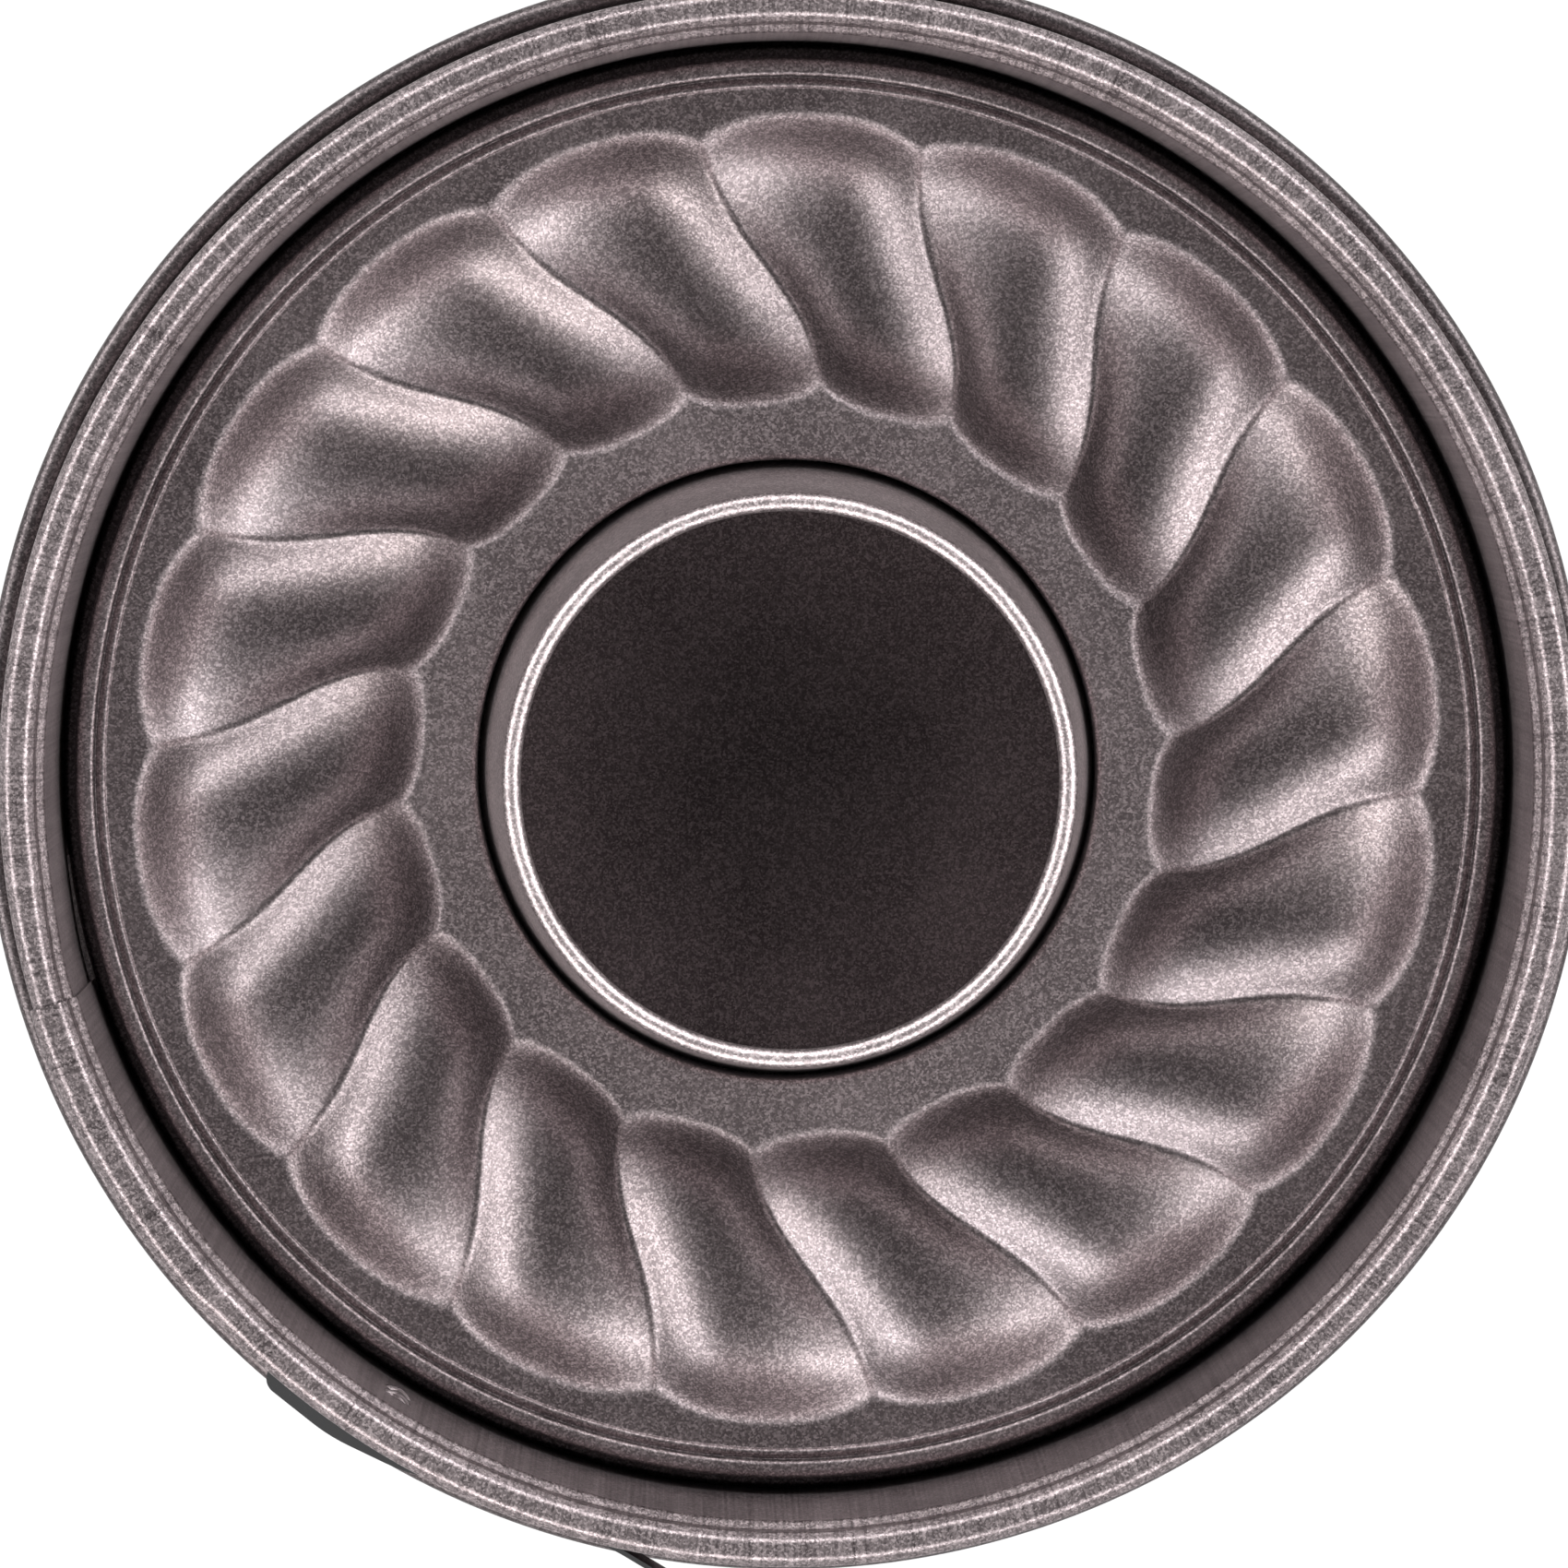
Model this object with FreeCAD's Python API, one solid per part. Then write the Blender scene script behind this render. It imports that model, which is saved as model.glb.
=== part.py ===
"""Springform tube pan: base plate, sprung ring with its buckle, and fluted wreath insert with a tube.

Millimetres, +Z up. The origin is the centre of the base plate on the surface that the pan stands on.
Angles are counted anticlockwise from +X, seen from above. The buckle lies between 218 and 264 degrees.
"""

import FreeCAD, Part
import math
import os

Vector = FreeCAD.Vector
UP = Vector(0, 0, 1)
ORIGIN = Vector(0, 0, 0)

# Clearances
SEAT_GAP = 0.05  # between faces that rest on each other
RUNNING_GAP = 0.05  # radial play of a pin in its hole
MOVING_GAP = 0.3  # between faces that pass each other

# Base plate, pressed steel with a leak guard lip
PLATE_SHEET = 0.6
PLATE_FLOOR_HEIGHT = 2.4  # underside of the floor above the table
PLATE_BEAD_HEIGHT = 1.6  # the seal bead above the floor
PLATE_BEAD_WIDTH = 2.8
PLATE_BEAD_CORNER = 0.8
PLATE_BEAD_FLANK = 0.8  # run of the bead's inner flank
PLATE_HOOK = 1.5  # how far the seal bead overhangs the neck below it
PLATE_HOOK_DROP = 0.6  # fall of the overhang's underside towards the neck
PLATE_BEND = 0.5
PLATE_CHANNEL_WIDTH = 6.2
PLATE_CHANNEL_BEND = 1.5
LIP_OUTER_RADIUS = 143.8
LIP_TOP = 12.5
LIP_ROLL_RADIUS = 2.0

# Ring band, one strip that overlaps itself
RING_INNER_RADIUS = 130.0
RING_TOP = 68.0
BAND_SHEET = 0.5
HEM_HEIGHT = 1.5
HEM_REACH = 1.6
HEM_BEND = 0.5
RIM_STEP = 1.6
RIM_STEP_DROP = 6.6
RIM_WIDTH = 6.2
RIM_SIDE = 5.4
RIM_CROWN = 1.5
RIM_CORNER = 1.4
RIM_FOOT = 0.8  # bend where the rim turns back in
STEP_BEND = 1.1  # both bends of the step below the rim
SEAM_ANGLE = 197.0
TAIL_ANGLE = 23.0
JOGGLE_ANGLE = 10.0
RIM_BLEND_ANGLE = 3.5
LAP_GAP = 0.15  # between the two layers of the overlap
COVER_EXTRA = 0.5  # degrees that the covering rim runs past the tail's end
TAIL_BOTTOM = 4.6

# Fluted insert
INSERT_SHEET = 0.6
LOBES = 18
LOBE_DEPTH = 12.5
RIDGE_SHARE = 0.46  # how far the creases stand up from the valleys, as a share of the depth
LOBE_OUTER_RADIUS = 117.8
CUSP_OUTER_RADIUS = 114.4
LOBE_INNER_RADIUS = 64.2
CUSP_INNER_RADIUS = 67.2
OUTER_WALL_RUN = 4.8
INNER_WALL_RUN = 5.5
SCALLOP_EASE = 5.0  # how far the flats round over into the lobes' end walls
OUTER_VALLEY = 0.32  # deepest line at a lobe's outer end, as a share of its width
INNER_VALLEY = 0.70
SCALLOP_POWER = 2.6  # fullness of the scallops' arches
TWIST = 13.4  # degrees that a crease turns back from its outer to its inner end
TWIST_DELAY = 1.2  # keeps the creases straight at their outer ends
TWIST_SWING = 0.25  # how much of the S the creases have
FIRST_CUSP = 18.0
OUTER_FLAT_RADIUS = 121.2
RIDGE_RADIUS = 122.2
RIDGE_HEIGHT = 0.7
RIDGE_CORNER = 0.45
FLAT_EASE = 0.4
GROOVE_RADIUS = 123.5
BEAD_OUTER_RADIUS = 127.0
BEAD_RADIUS = 1.75
BEAD_SHOULDER = 0.6
HOLE_RADIUS = 55.3
HOLE_CORNER = 1.2
COLLAR_ROOM = 0.4  # between the collar's end and the tube's foot

# Tube
TUBE_SHEET = 0.6
TUBE_TOP = 74.0
TUBE_OPENING_RADIUS = 46.6
TUBE_CURL_RADIUS = 1.75
TUBE_SLOT = 0.25  # between the tube and the collar where the tube bends into its foot
TUBE_FOOT_BEND = 0.9
TUBE_HEM_HEIGHT = 2.0
TUBE_HEM_BEND = 0.5

# Buckle, chromed steel
BUCKLE_SHEET = 0.8
BUCKLE_HEIGHT = 37.0  # middle of the buckle above the table
PIVOT_STANDOFF = 8.15  # fulcrum pin, from the band's outer face
PIVOT_ANGLE = 230.2
NOSE_RADIUS = 3.25
PIN_RADIUS = 1.25
PIN_HEAD_RADIUS = 1.9
PIN_HEAD = 0.6
LEVER_HEIGHT = 13.8
LEVER_BEND = 34.0
LEVER_TIP_REACH = 7.85  # tip, outwards from the circle through the pivot
LEVER_TIP_SWEEP = 33.8  # degrees from the pivot to the tip
NOSE_EASE = 0.9  # second corner of the nose, as a share of the first
LEVER_TIP_CORNER = 4.0
BRACKET_START = 228.9
BRACKET_END = 241.5
EAR_RADIUS = 3.0
RIVET_ANGLE = 237.9
RIVET_SPACING = 9.0
RIVET_RADIUS = 1.5
RIVET_HEAD_RADIUS = 2.7
RIVET_HEAD = 0.9
DRILL_DEPTH = 3.0
LEVER_SWAY = (3.05, 1.55, -1.15, -1.25, 1.65)  # bends of the web, outwards from the pivot's circle
LEVER_SWEEPS = (5.0, 10.6, 16.4, 22.2, 27.6)  # degrees from the pivot to each bend
FLANGE_REACH = 3.75  # inwards from the pivot's circle
FLANGE_SWEEPS = (2.2, 7.3, 14.4)  # degrees from the pivot: first corner, second corner, end at the web
FLANGE_CORNERS = (3.0, 6.0)
CRANK = 5.5  # from the fulcrum pin to the link's pivot
OVER_CENTRE = 15.0
WIRE_RADIUS = 0.9
LINK_BEND = 2.2
HOOK_ANGLE = 218.0
HOOK_BEND = 3.3
HOOK_TAB = 2.2
HOOK_HEIGHT = 14.0
HOOK_PLATE_ANGLE = 8.0
HOOK_RIVET_SETBACK = 4.6

# Levels and radii that follow from the sizes above
PIVOT_RADIUS = RING_INNER_RADIUS + BAND_SHEET + PIVOT_STANDOFF
FLOOR_TOP = PLATE_FLOOR_HEIGHT + PLATE_SHEET
FLAT_TOP = FLOOR_TOP + SEAT_GAP + INSERT_SHEET + LOBE_DEPTH
LAP = BAND_SHEET + LAP_GAP
LOBE_ANGLE = 360.0 / LOBES
LOBE_ROWS = 21
LOBE_COLUMNS = 13
ROW_BUNCHING = 0.8  # 0 gives even rows, 1 the closest rows at the lobe's ends
SEWING_TOLERANCE = 0.001


def polar(radius, degrees, height=0.0):
    """Point at a radius and an angle about the pan's axis."""
    angle = math.radians(degrees)
    return Vector(radius * math.cos(angle), radius * math.sin(angle), height)


def turned(shape, degrees):
    """The shape turned about the pan's axis."""
    copy = shape.copy()
    copy.rotate(ORIGIN, UP, degrees)
    return copy


def corner_arcs(points, closed):
    """Rounds the corners of a path of (x, y, radius); gives (kind, start, end, centre, turn)."""
    count = len(points)
    flat = [Vector(x, y, 0) for x, y, _ in points]
    starts, ends, arcs = [None] * count, [None] * count, [None] * count
    for i in range(count):
        radius = points[i][2]
        inner = closed or 0 < i < count - 1
        if not inner or radius <= 0:
            starts[i] = ends[i] = flat[i]
            continue
        towards = (flat[i] - flat[i - 1]).normalize()
        away = (flat[(i + 1) % count] - flat[i]).normalize()
        turn = math.atan2(towards.cross(away).z, towards.dot(away))
        reach = radius * abs(math.tan(turn / 2))
        starts[i] = flat[i] - towards * reach
        ends[i] = flat[i] + away * reach
        side = Vector(-towards.y, towards.x, 0) * math.copysign(radius, turn)
        arcs[i] = ("arc", starts[i], ends[i], starts[i] + side, math.copysign(1, turn))
    path = []
    for i in range(count if closed else count - 1):
        if arcs[i]:
            path.append(arcs[i])
        after = (i + 1) % count
        if (starts[after] - ends[i]).Length > 1e-6:
            path.append(("line", ends[i], starts[after], None, 0))
    return path


def offset_edges(path, shift, place):
    """Edges of the path moved to its left by shift, each put in space by place."""
    edges = []
    for kind, start, end, centre, turn in path:
        if kind == "line":
            along = (end - start).normalize()
            side = Vector(-along.y, along.x, 0) * shift
            edges.append(Part.LineSegment(place(start + side), place(end + side)).toShape())
            continue
        radius = (start - centre).Length
        scale = (radius - shift * turn) / radius
        first = centre + (start - centre) * scale
        last = centre + (end - centre) * scale
        middle = centre + ((first - centre) + (last - centre)).normalize() * radius * scale
        edges.append(Part.Arc(place(first), place(middle), place(last)).toShape())
    return edges


def sheet_outline(points, sheet, place):
    """Edges round a sheet whose middle line runs through the points: left side, end cap, right side."""
    path = corner_arcs(points, False)
    left = offset_edges(path, sheet / 2, place)
    right = offset_edges(path, -sheet / 2, place)
    cap = Part.LineSegment(left[-1].lastVertex().Point, right[-1].lastVertex().Point).toShape()
    return left, cap, right


def sheet_face(points, sheet, place):
    """Face of a sheet section along the points."""
    left, cap, right = sheet_outline(points, sheet, place)
    back = Part.LineSegment(right[0].firstVertex().Point, left[0].firstVertex().Point).toShape()
    return Part.Face(Part.Wire(Part.sortEdges(left + [cap] + right + [back])[0]))


def section(point):
    """Places a flat (radius, height) point in the XZ plane."""
    return Vector(point.x, 0, point.y)


def plan(height):
    """Places a flat (x, y) point at a height."""
    return lambda point: Vector(point.x, point.y, height)


def spun(face, start=0.0, sweep=360.0):
    """Revolves a section face about the pan's axis."""
    return turned(face.revolve(ORIGIN, UP, sweep), start)


def rounded_plate(points, bottom, height):
    """Flat plate with rounded corners, from (x, y, radius) points."""
    edges = offset_edges(corner_arcs(points, True), 0.0, plan(bottom))
    return Part.Face(Part.Wire(Part.sortEdges(edges)[0])).extrude(UP * height)


def base_plate():
    """Floor, seal bead with its undercut neck, channel for the ring's hem, and the leak guard lip."""
    half = PLATE_SHEET / 2
    floor = PLATE_FLOOR_HEIGHT + half
    overhang = RING_INNER_RADIUS - MOVING_GAP - half
    neck = overhang - PLATE_HOOK
    bead_inner = overhang - PLATE_BEAD_WIDTH
    channel_end = neck + PLATE_CHANNEL_WIDTH
    roll = LIP_ROLL_RADIUS - half
    roll_outer = LIP_OUTER_RADIUS - half
    roll_inner = roll_outer - 2 * roll
    lip_top = LIP_TOP - half
    bead_top = floor + PLATE_BEAD_HEIGHT
    hook = floor + PLATE_HOOK_DROP / 2
    outline = [
        (0.0, floor, 0.0),
        (bead_inner - PLATE_BEAD_FLANK, floor, PLATE_BEAD_CORNER),
        (bead_inner, bead_top, PLATE_BEAD_CORNER),
        (overhang, bead_top, PLATE_BEAD_CORNER),
        (overhang, hook, PLATE_BEND),
        (neck, hook - PLATE_HOOK_DROP, PLATE_BEND),
        (neck, half, PLATE_BEND),
        (channel_end, half, PLATE_CHANNEL_BEND),
        (roll_inner, lip_top - 2 * roll, LIP_ROLL_RADIUS),
        (roll_inner, lip_top, roll),
        (roll_outer, lip_top, roll),
        (roll_outer, lip_top - 2 * roll, roll),
        (roll_inner + roll, lip_top - 2 * roll, 0.0),
    ]
    return spun(sheet_face(outline, PLATE_SHEET, section))


def drilled(shape, radius, degrees):
    """The shape with the pair of rivet holes, along the radius, through a wall at a radius and an angle."""
    for height in rivet_heights():
        start = Vector(radius, 0, height)
        hole = Part.makeCylinder(RIVET_RADIUS + RUNNING_GAP, DRILL_DEPTH, start, Vector(1, 0, 0))
        shape = shape.cut(turned(hole, degrees))
    return shape


def wall_plate(inner, sheet, low, height, start, end):
    """Upright plate curved with the band, between two angles."""
    middle = inner + sheet / 2
    strip = sheet_face([(middle, low, 0.0), (middle, low + height, 0.0)], sheet, section)
    return spun(strip, start, end - start)


def band_points(shift, grow, hem):
    """Middle line of the band: hem, wall, step and rolled rim. Grow makes the rim cover another rim."""
    half = BAND_SHEET / 2
    wall = RING_INNER_RADIUS + half + shift
    rim_inner = wall + RIM_STEP
    rim_outer = RING_INNER_RADIUS + RIM_STEP + RIM_WIDTH - half + grow
    top = RING_TOP - half - LAP + grow
    low = top - RIM_SIDE - 2 * grow
    step = RING_TOP - RIM_STEP_DROP
    hem_bottom = PLATE_SHEET + SEAT_GAP + half
    if hem:
        start = [
            (wall - HEM_REACH, hem_bottom + HEM_HEIGHT - BAND_SHEET, 0.0),
            (wall - HEM_REACH, hem_bottom, HEM_BEND),
            (wall, hem_bottom, HEM_BEND),
        ]
    else:
        start = [(wall, TAIL_BOTTOM, 0.0)]
    rim = [
        (wall, step, STEP_BEND),
        (rim_inner, step + RIM_STEP, STEP_BEND),
        (rim_inner, top - RIM_CROWN, RIM_CORNER / 2),
        (rim_inner + RIM_CORNER, top, RIM_CORNER),
        (rim_outer - RIM_CORNER, top, RIM_CORNER),
        (rim_outer, top - RIM_CROWN, RIM_CORNER / 2),
        (rim_outer, low, RIM_FOOT),
        (rim_outer - RIM_CORNER, low, 0.0),
    ]
    return start + rim


def band_section(degrees, shift, grow, hem):
    """Section face of the band, standing at an angle."""
    return turned(sheet_face(band_points(shift, grow, hem), BAND_SHEET, section), degrees)


def band_blend(start, sweep, shift, grow, hem, steps=4):
    """Piece of band whose section changes smoothly from (shift, grow)[0] to [1]."""
    wires = []
    for i in range(steps + 1):
        share = i / steps
        ease = share * share * (3 - 2 * share)
        now_shift = shift[0] + (shift[1] - shift[0]) * ease
        now_grow = grow[0] + (grow[1] - grow[0]) * ease
        wires.append(band_section(start + sweep * share, now_shift, now_grow, hem).OuterWire)
    return Part.makeLoft(wires, True, False)


def ring_band():
    """The strip: its covering start, the plain round, the joggle and the tail outside the start."""
    cover_end = SEAM_ANGLE + TAIL_ANGLE + COVER_EXTRA
    round_start = cover_end + RIM_BLEND_ANGLE
    joggle_start = SEAM_ANGLE + 360.0 - JOGGLE_ANGLE
    cover = band_section(SEAM_ANGLE, 0.0, LAP, True).revolve(ORIGIN, UP, cover_end - SEAM_ANGLE)
    blend = band_blend(cover_end, RIM_BLEND_ANGLE, (0.0, 0.0), (LAP, 0.0), True)
    plain = band_section(round_start, 0.0, 0.0, True).revolve(ORIGIN, UP, joggle_start - round_start)
    joggle = band_blend(joggle_start, JOGGLE_ANGLE, (0.0, LAP), (0.0, 0.0), False)
    tail = band_section(SEAM_ANGLE, LAP, 0.0, False).revolve(ORIGIN, UP, TAIL_ANGLE)
    band = cover.fuse([blend, plain, joggle, tail])
    band = drilled(band, RING_INNER_RADIUS - BAND_SHEET, RIVET_ANGLE)
    return drilled(band, RING_INNER_RADIUS + BAND_SHEET + LAP_GAP / 2, hook_rivet_angle())


def rivet_heights():
    """Heights of the two rivets in a pair."""
    return BUCKLE_HEIGHT - RIVET_SPACING / 2, BUCKLE_HEIGHT + RIVET_SPACING / 2


def hook_rivet_angle():
    """Angle of the catch's rivets, behind its hook."""
    return HOOK_ANGLE - HOOK_RIVET_SETBACK


def crease_turn(radius):
    """Degrees that a crease lies behind its outer end, at a radius: an S, steepest past the middle."""
    share = (CUSP_OUTER_RADIUS - radius) / (CUSP_OUTER_RADIUS - CUSP_INNER_RADIUS)
    late = min(max(share, 0.0), 1.0) ** TWIST_DELAY
    return -TWIST * (late - TWIST_SWING * math.sin(2 * math.pi * late) / math.pi)


def lobe_edge(across, lobe_radius, cusp_radius):
    """Radius of the scalloped edge: an arch between two cusps."""
    arch = 1 - abs(2 * across - 1) ** SCALLOP_POWER
    return cusp_radius + (lobe_radius - cusp_radius) * arch


def end_wall(distance, run):
    """Share of the full depth at a distance from the scallop: a rounded shoulder, then a falling slope."""
    eased = math.hypot(distance, SCALLOP_EASE) - SCALLOP_EASE
    return 1 - math.exp(-eased / run)


def lobe_point(across, along):
    """Top of the fluted sheet, across one lobe (0 to 1) and from its inner to its outer edge (0 to 1)."""
    outer = lobe_edge(across, LOBE_OUTER_RADIUS, CUSP_OUTER_RADIUS)
    inner = lobe_edge(across, LOBE_INNER_RADIUS, CUSP_INNER_RADIUS)
    radius = inner + (outer - inner) * along
    walls = end_wall(outer - radius, OUTER_WALL_RUN) * end_wall(radius - inner, INNER_WALL_RUN)
    valley = INNER_VALLEY + (OUTER_VALLEY - INNER_VALLEY) * along * along * (3 - 2 * along)
    flank = valley if across < valley else 1 - valley
    ridge = RIDGE_SHARE * ((across - valley) / flank) ** 2
    depth = LOBE_DEPTH * walls * (1 - ridge)
    return polar(radius, crease_turn(radius) + LOBE_ANGLE * across, FLAT_TOP - depth)


def lobe_normal(across, along, step=1e-3):
    """Unit normal of the fluted sheet, pointing up, from one-sided differences inside the lobe."""
    near, far = max(across - step, 0.0), min(across + step, 1.0)
    low, high = max(along - step, 0.0), min(along + step, 1.0)
    across_way = lobe_point(far, along) - lobe_point(near, along)
    along_way = lobe_point(across, high) - lobe_point(across, low)
    normal = along_way.cross(across_way).normalize()
    return normal if normal.z > 0 else normal * -1


def turned_vector(vector, degrees):
    """A direction turned about the pan's axis."""
    return FreeCAD.Rotation(UP, degrees).multVec(vector)


def underside_point(across, along):
    """Underside of the fluted sheet: one sheet below the top, mitred where two faces meet."""
    first = mate = lobe_normal(across, along)
    if across in (0.0, 1.0):
        mate = turned_vector(lobe_normal(1.0 - across, along), LOBE_ANGLE if across else -LOBE_ANGLE)
    if along in (0.0, 1.0):
        first, mate = (first + mate).normalize(), UP
    mitre = (first + mate) * (INSERT_SHEET / (1 + first.dot(mate)))
    return lobe_point(across, along) - mitre


def lobe_surface(point_at):
    """Smooth surface through a grid of points of one lobe, closer together at its steep ends."""
    rows = []
    for i in range(LOBE_ROWS):
        share = i / (LOBE_ROWS - 1)
        along = share - ROW_BUNCHING * math.sin(2 * math.pi * share) / (2 * math.pi)
        if i in (0, LOBE_ROWS - 1):
            along = float(round(along))
        rows.append([point_at(j / (LOBE_COLUMNS - 1), along) for j in range(LOBE_COLUMNS)])
    surface = Part.BSplineSurface()
    surface.interpolate(rows)
    return surface.toShape()


def flat_sector(scallop, rim_radius, height, start):
    """Flat strip between a scalloped edge and the circle at rim_radius, over one lobe."""
    first, last = sorted((v.Point for v in scallop.Vertexes), key=lambda p: math.atan2(p.y, p.x))
    near, middle, far = (polar(rim_radius, start + LOBE_ANGLE * share, height) for share in (0.0, 0.5, 1.0))
    edges = [
        scallop,
        Part.LineSegment(last, far).toShape(),
        Part.Arc(far, middle, near).toShape(),
        Part.LineSegment(near, first).toShape(),
    ]
    return Part.Face(Part.Wire(Part.sortEdges(edges)[0]))


def insert_sector():
    """Faces of the insert over one lobe: both sides of the lobe, its flats, collar and edge bead."""
    half = INSERT_SHEET / 2
    middle = FLAT_TOP - half
    collar = HOLE_RADIUS + half
    collar_end = FLOOR_TOP + SEAT_GAP + TUBE_SHEET + COLLAR_ROOM
    inner_start = (HOLE_RADIUS + 2 * HOLE_CORNER, middle, 0.0)
    outer_start = (OUTER_FLAT_RADIUS, middle, 0.0)
    bead = BEAD_RADIUS - half
    bead_outer = BEAD_OUTER_RADIUS - half
    bead_inner = bead_outer - 2 * bead
    ridge_top = middle + RIDGE_HEIGHT
    inner_points = [inner_start, (collar, middle, HOLE_CORNER - half), (collar, collar_end, 0.0)]
    outer_points = [
        outer_start,
        (OUTER_FLAT_RADIUS + FLAT_EASE, middle, RIDGE_CORNER),
        (RIDGE_RADIUS, ridge_top, RIDGE_CORNER),
        (GROOVE_RADIUS, middle, RIDGE_CORNER),
        (bead_inner + BEAD_SHOULDER, ridge_top, BEAD_SHOULDER),
        (bead_outer, ridge_top, bead),
        (bead_outer, ridge_top - 2 * bead, bead),
        (bead_inner + bead, ridge_top - 2 * bead, 0.0),
    ]
    faces = []
    levels = {"top": FLAT_TOP, "under": FLAT_TOP - INSERT_SHEET}
    for side, point_at in (("top", lobe_point), ("under", underside_point)):
        lobe = lobe_surface(point_at)
        faces.append(lobe)
        ends = ((0.0, inner_points, CUSP_INNER_RADIUS), (1.0, outer_points, CUSP_OUTER_RADIUS))
        for share, points, cusp in ends:
            target = Part.Vertex(point_at(0.5, share))
            scallop = min(lobe.Edges, key=lambda e: e.distToShape(target)[0])
            start = crease_turn(cusp)
            faces.append(flat_sector(scallop, points[0][0], levels[side], start))
            if side == "top":
                left, cap, right = sheet_outline(points, INSERT_SHEET, section)
                outline = Part.Wire(Part.sortEdges(left + [cap] + right)[0])
                faces += turned(outline.revolve(ORIGIN, UP, LOBE_ANGLE), start).Faces
    return faces


def fluted_insert():
    """Pressed wreath ring: the faces of one lobe repeated round the axis and sewn into one sheet."""
    sector = insert_sector()
    faces = [turned(face, FIRST_CUSP + LOBE_ANGLE * k) for k in range(LOBES) for face in sector]
    shell = Part.makeCompound(faces)
    shell.sewShape(SEWING_TOLERANCE)
    solid = Part.makeSolid(shell.Shells[0])
    if solid.Volume < 0:
        solid.reverse()
    return solid


def tube():
    """Tapered tube with an outward curl on top and a foot that hems round the insert's collar."""
    half = TUBE_SHEET / 2
    foot = FLOOR_TOP + SEAT_GAP + half
    hem = HOLE_RADIUS + INSERT_SHEET + SEAT_GAP + half
    curl = TUBE_CURL_RADIUS - half
    top = TUBE_TOP - half
    wall_top = TUBE_OPENING_RADIUS + half
    outline = [
        (hem, foot + TUBE_HEM_HEIGHT, 0.0),
        (hem, foot, TUBE_HEM_BEND),
        (HOLE_RADIUS - TUBE_SLOT - half, foot, TUBE_FOOT_BEND),
        (wall_top, top, curl),
        (wall_top + 2 * curl, top, curl),
        (wall_top + 2 * curl, top - 2 * curl, curl),
        (wall_top + curl, top - 2 * curl, 0.0),
    ]
    return spun(sheet_face(outline, TUBE_SHEET, section))


def pivot_frame():
    """The fulcrum's place in plan, and the outward and the anticlockwise direction there."""
    return polar(PIVOT_RADIUS, PIVOT_ANGLE), polar(1, PIVOT_ANGLE), polar(1, PIVOT_ANGLE + 90)


def hook_centre():
    """Middle of the hook's bend in plan."""
    plate_middle = RING_INNER_RADIUS + LAP + BAND_SHEET + SEAT_GAP + BUCKLE_SHEET / 2
    return polar(plate_middle + HOOK_BEND, HOOK_ANGLE)


def crossbar_place():
    """Where the link's crossbar lies in the hook, with room for the pull over dead centre."""
    reach = HOOK_BEND - BUCKLE_SHEET / 2 - WIRE_RADIUS - MOVING_GAP
    return hook_centre() + polar(reach, HOOK_ANGLE + 90)


def link_pivot():
    """The link's pivot on the lever: beyond the fulcrum, inside the line from the crossbar through it."""
    pivot, _, _ = pivot_frame()
    line = (pivot - crossbar_place()).normalize()
    return pivot + turned_vector(line, OVER_CENTRE) * CRANK


def lever_spot(reach, sweep, corner):
    """Plan point (x, y, corner): out of the pivot's circle by reach, past the pivot by sweep degrees."""
    place = polar(PIVOT_RADIUS + reach, PIVOT_ANGLE + sweep)
    return place.x, place.y, corner


def lever_points():
    """Middle line of the lever's web in plan: nose round the fulcrum, then the long S to its tip."""
    pivot, out, along = pivot_frame()
    turn = NOSE_RADIUS - BUCKLE_SHEET / 2
    nose = [
        (pivot - out * turn + along * turn, 0.0),
        (pivot - out * turn - along * turn, turn),
        (pivot + out * turn - along * turn, turn * NOSE_EASE),
    ]
    run = [lever_spot(sway, sweep, LEVER_BEND) for sway, sweep in zip(LEVER_SWAY, LEVER_SWEEPS)]
    run.append(lever_spot(LEVER_TIP_REACH, LEVER_TIP_SWEEP, 0.0))
    return [(p.x, p.y, corner) for p, corner in nose] + run


def tip_cutters():
    """Two blocks with a hollow round, which take the sharp corners off the lever's tip."""
    (x, y, _), (end_x, end_y, _) = lever_points()[-2:]
    end = Vector(end_x, end_y, BUCKLE_HEIGHT)
    way = Vector(end_x - x, end_y - y, 0).normalize()
    side = Vector(-way.y, way.x, 0) * 2 * BUCKLE_SHEET
    blocks = []
    for sign in (1, -1):
        edge = sign * LEVER_HEIGHT / 2
        spots = [
            (-LEVER_TIP_CORNER, edge),
            (-LEVER_TIP_CORNER, edge + sign * BUCKLE_SHEET),
            (BUCKLE_SHEET, edge + sign * BUCKLE_SHEET),
            (BUCKLE_SHEET, edge - sign * LEVER_TIP_CORNER),
            (0.0, edge - sign * LEVER_TIP_CORNER),
        ]
        corners = [end + way * s + UP * z - side for s, z in spots]
        centre = end + way * -LEVER_TIP_CORNER + UP * (edge - sign * LEVER_TIP_CORNER) - side
        middle = centre + (way + UP * sign).normalize() * LEVER_TIP_CORNER
        round_edge = Part.Arc(corners[-1], middle, corners[0]).toShape()
        outline = Part.Wire(Part.makePolygon(corners).Edges + [round_edge])
        blocks.append(Part.Face(outline).extrude(side * 2))
    return blocks


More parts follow.
